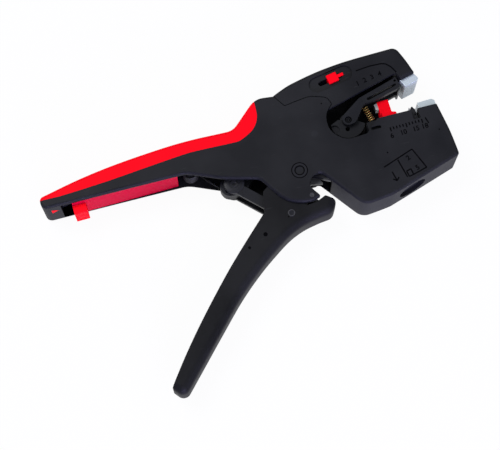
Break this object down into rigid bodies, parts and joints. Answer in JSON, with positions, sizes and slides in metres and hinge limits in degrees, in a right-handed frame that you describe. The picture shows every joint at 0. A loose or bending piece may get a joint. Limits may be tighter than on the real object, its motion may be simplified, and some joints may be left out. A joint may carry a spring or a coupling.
{
  "type": "automatic wire stripper",
  "caption": "Self-adjusting wire stripper with sprung handle, clamping jaws, sliding blade carriage, depth slider, length stop and side cutter.",
  "frame": {"origin": "on the main pivot's axis, at the resting back face of the housing", "axes": "+X along the tool from the grips to the clamping jaws, +Y towards the upper jaw, +Z through the thickness towards the face with the scale"},
  "size_m": [0.1949, 0.1331, 0.0224],
  "materials": {
    "housing_plastic": "fine matt moulded black plastic, reinforced",
    "red_plastic": "bright red soft-touch plastic, fine satin grain",
    "dark_plastic": "dark moulded plastic of the working parts",
    "jaw_steel": "ground steel clamping jaws",
    "blade_steel": "hardened ground blade steel",
    "spring_steel": "spring steel",
    "screw_steel": "zinc-plated screws",
    "pin_steel": "plain steel pins",
    "dark_pivot": "blackened steel pivot pins",
    "brass_spring": "golden spring wire"
  },
  "bodies": {
    "housing": {"front_shell": "housing_plastic", "back_shell": "housing_plastic", "front_grip_inlay": "red_plastic", "back_grip_inlay": "red_plastic", "shell_screws": "screw_steel", "main_pivot_pin": "dark_pivot", "jaw_stub_pins": "dark_pivot", "lower_clamp_jaw": "jaw_steel", "fixed_cutter_blade": "blade_steel", "fixed_cutter_rivet": "dark_pivot", "return_spring": "spring_steel", "return_spring_spool": "pin_steel"},
    "handle": {"moving_handle": "housing_plastic", "moving_cutter_blade": "blade_steel", "moving_cutter_rivets": "dark_pivot", "handle_link_pin": "dark_pivot"},
    "toggle": {"front_toggle_plate": "dark_plastic", "back_toggle_plate": "dark_plastic", "toggle_boss_pin": "pin_steel"},
    "rod": {"pull_rod": "dark_plastic"},
    "carriage": {"lower_blade_carrier": "dark_plastic", "lower_blade": "blade_steel", "knuckle_pin": "pin_steel"},
    "rocker": {"rocker_plate": "dark_plastic"},
    "blade_arm": {"upper_blade_arm": "dark_plastic", "upper_blade": "blade_steel", "blade_spring": "brass_spring"},
    "stop": {"length_stop": "red_plastic", "length_stop_leaf": "spring_steel"},
    "upper_jaw": {"upper_jaw_front": "housing_plastic", "upper_jaw_back": "housing_plastic", "upper_jaw_screws": "screw_steel", "upper_clamp_jaw": "jaw_steel"},
    "depth_knob": {"depth_slider": "red_plastic"},
    "lock": {"lock_slide": "red_plastic"}
  },
  "joints": [
    {"name": "handle_pivot", "type": "hinge", "parent": "housing", "child": "handle", "pos_m": [0, 0, 0], "axis": [0, 0, 1], "range_deg": [-48, 0], "stiffness_Nm_per_rad": 0.5, "springref_deg": 28.65},
    {"name": "toggle_pivot", "type": "hinge", "parent": "handle", "child": "toggle", "pos_m": [-0.00916, -0.01813, 0], "axis": [0, 0, 1], "range_deg": [0, 76.2]},
    {"name": "rod_slide", "type": "slide", "parent": "housing", "child": "rod", "axis": [1, 0, 0], "range_m": [-0.0181, 0]},
    {"name": "carriage_slide", "type": "slide", "parent": "housing", "child": "carriage", "axis": [1, 0, 0], "range_m": [-0.0101, 0]},
    {"name": "blade_arm_pivot", "type": "hinge", "parent": "carriage", "child": "blade_arm", "pos_m": [0.02964, 0.01852, 0], "axis": [0, 0, 1], "range_deg": [-18.6, 0]},
    {"name": "rocker_pivot", "type": "hinge", "parent": "carriage", "child": "rocker", "pos_m": [0.02964, 0.01852, 0], "axis": [0, 0, 1], "range_deg": [-25.1, 0]},
    {"name": "jaw_pivot", "type": "hinge", "parent": "housing", "child": "upper_jaw", "pos_m": [0.01189, 0.01541, 0], "axis": [0, 0, 1], "range_deg": [-10.6, 0]},
    {"name": "depth_slide", "type": "slide", "parent": "upper_jaw", "child": "depth_knob", "axis": [0.9877, 0.1564, 0], "range_m": [-0.004, 0.002]},
    {"name": "length_stop_slide", "type": "slide", "parent": "carriage", "child": "stop", "axis": [1, 0, 0], "range_m": [0, 0.0055]},
    {"name": "lock_slide_travel", "type": "slide", "parent": "housing", "child": "lock", "axis": [1, 0, 0], "range_m": [-0.004, 0]}
  ],
  "couplings": [
    {"joint": "toggle_pivot", "follows": "handle_pivot", "ratio": -1.5833},
    {"joint": "rod_slide", "follows": "handle_pivot", "m_per_rad": 0.021486},
    {"joint": "carriage_slide", "follows": "handle_pivot", "m_per_rad": 0.011937},
    {"joint": "blade_arm_pivot", "follows": "handle_pivot", "ratio": 0.38542},
    {"joint": "rocker_pivot", "follows": "handle_pivot", "ratio": 0.52083},
    {"joint": "jaw_pivot", "follows": "handle_pivot", "ratio": 0.21875}
  ]
}
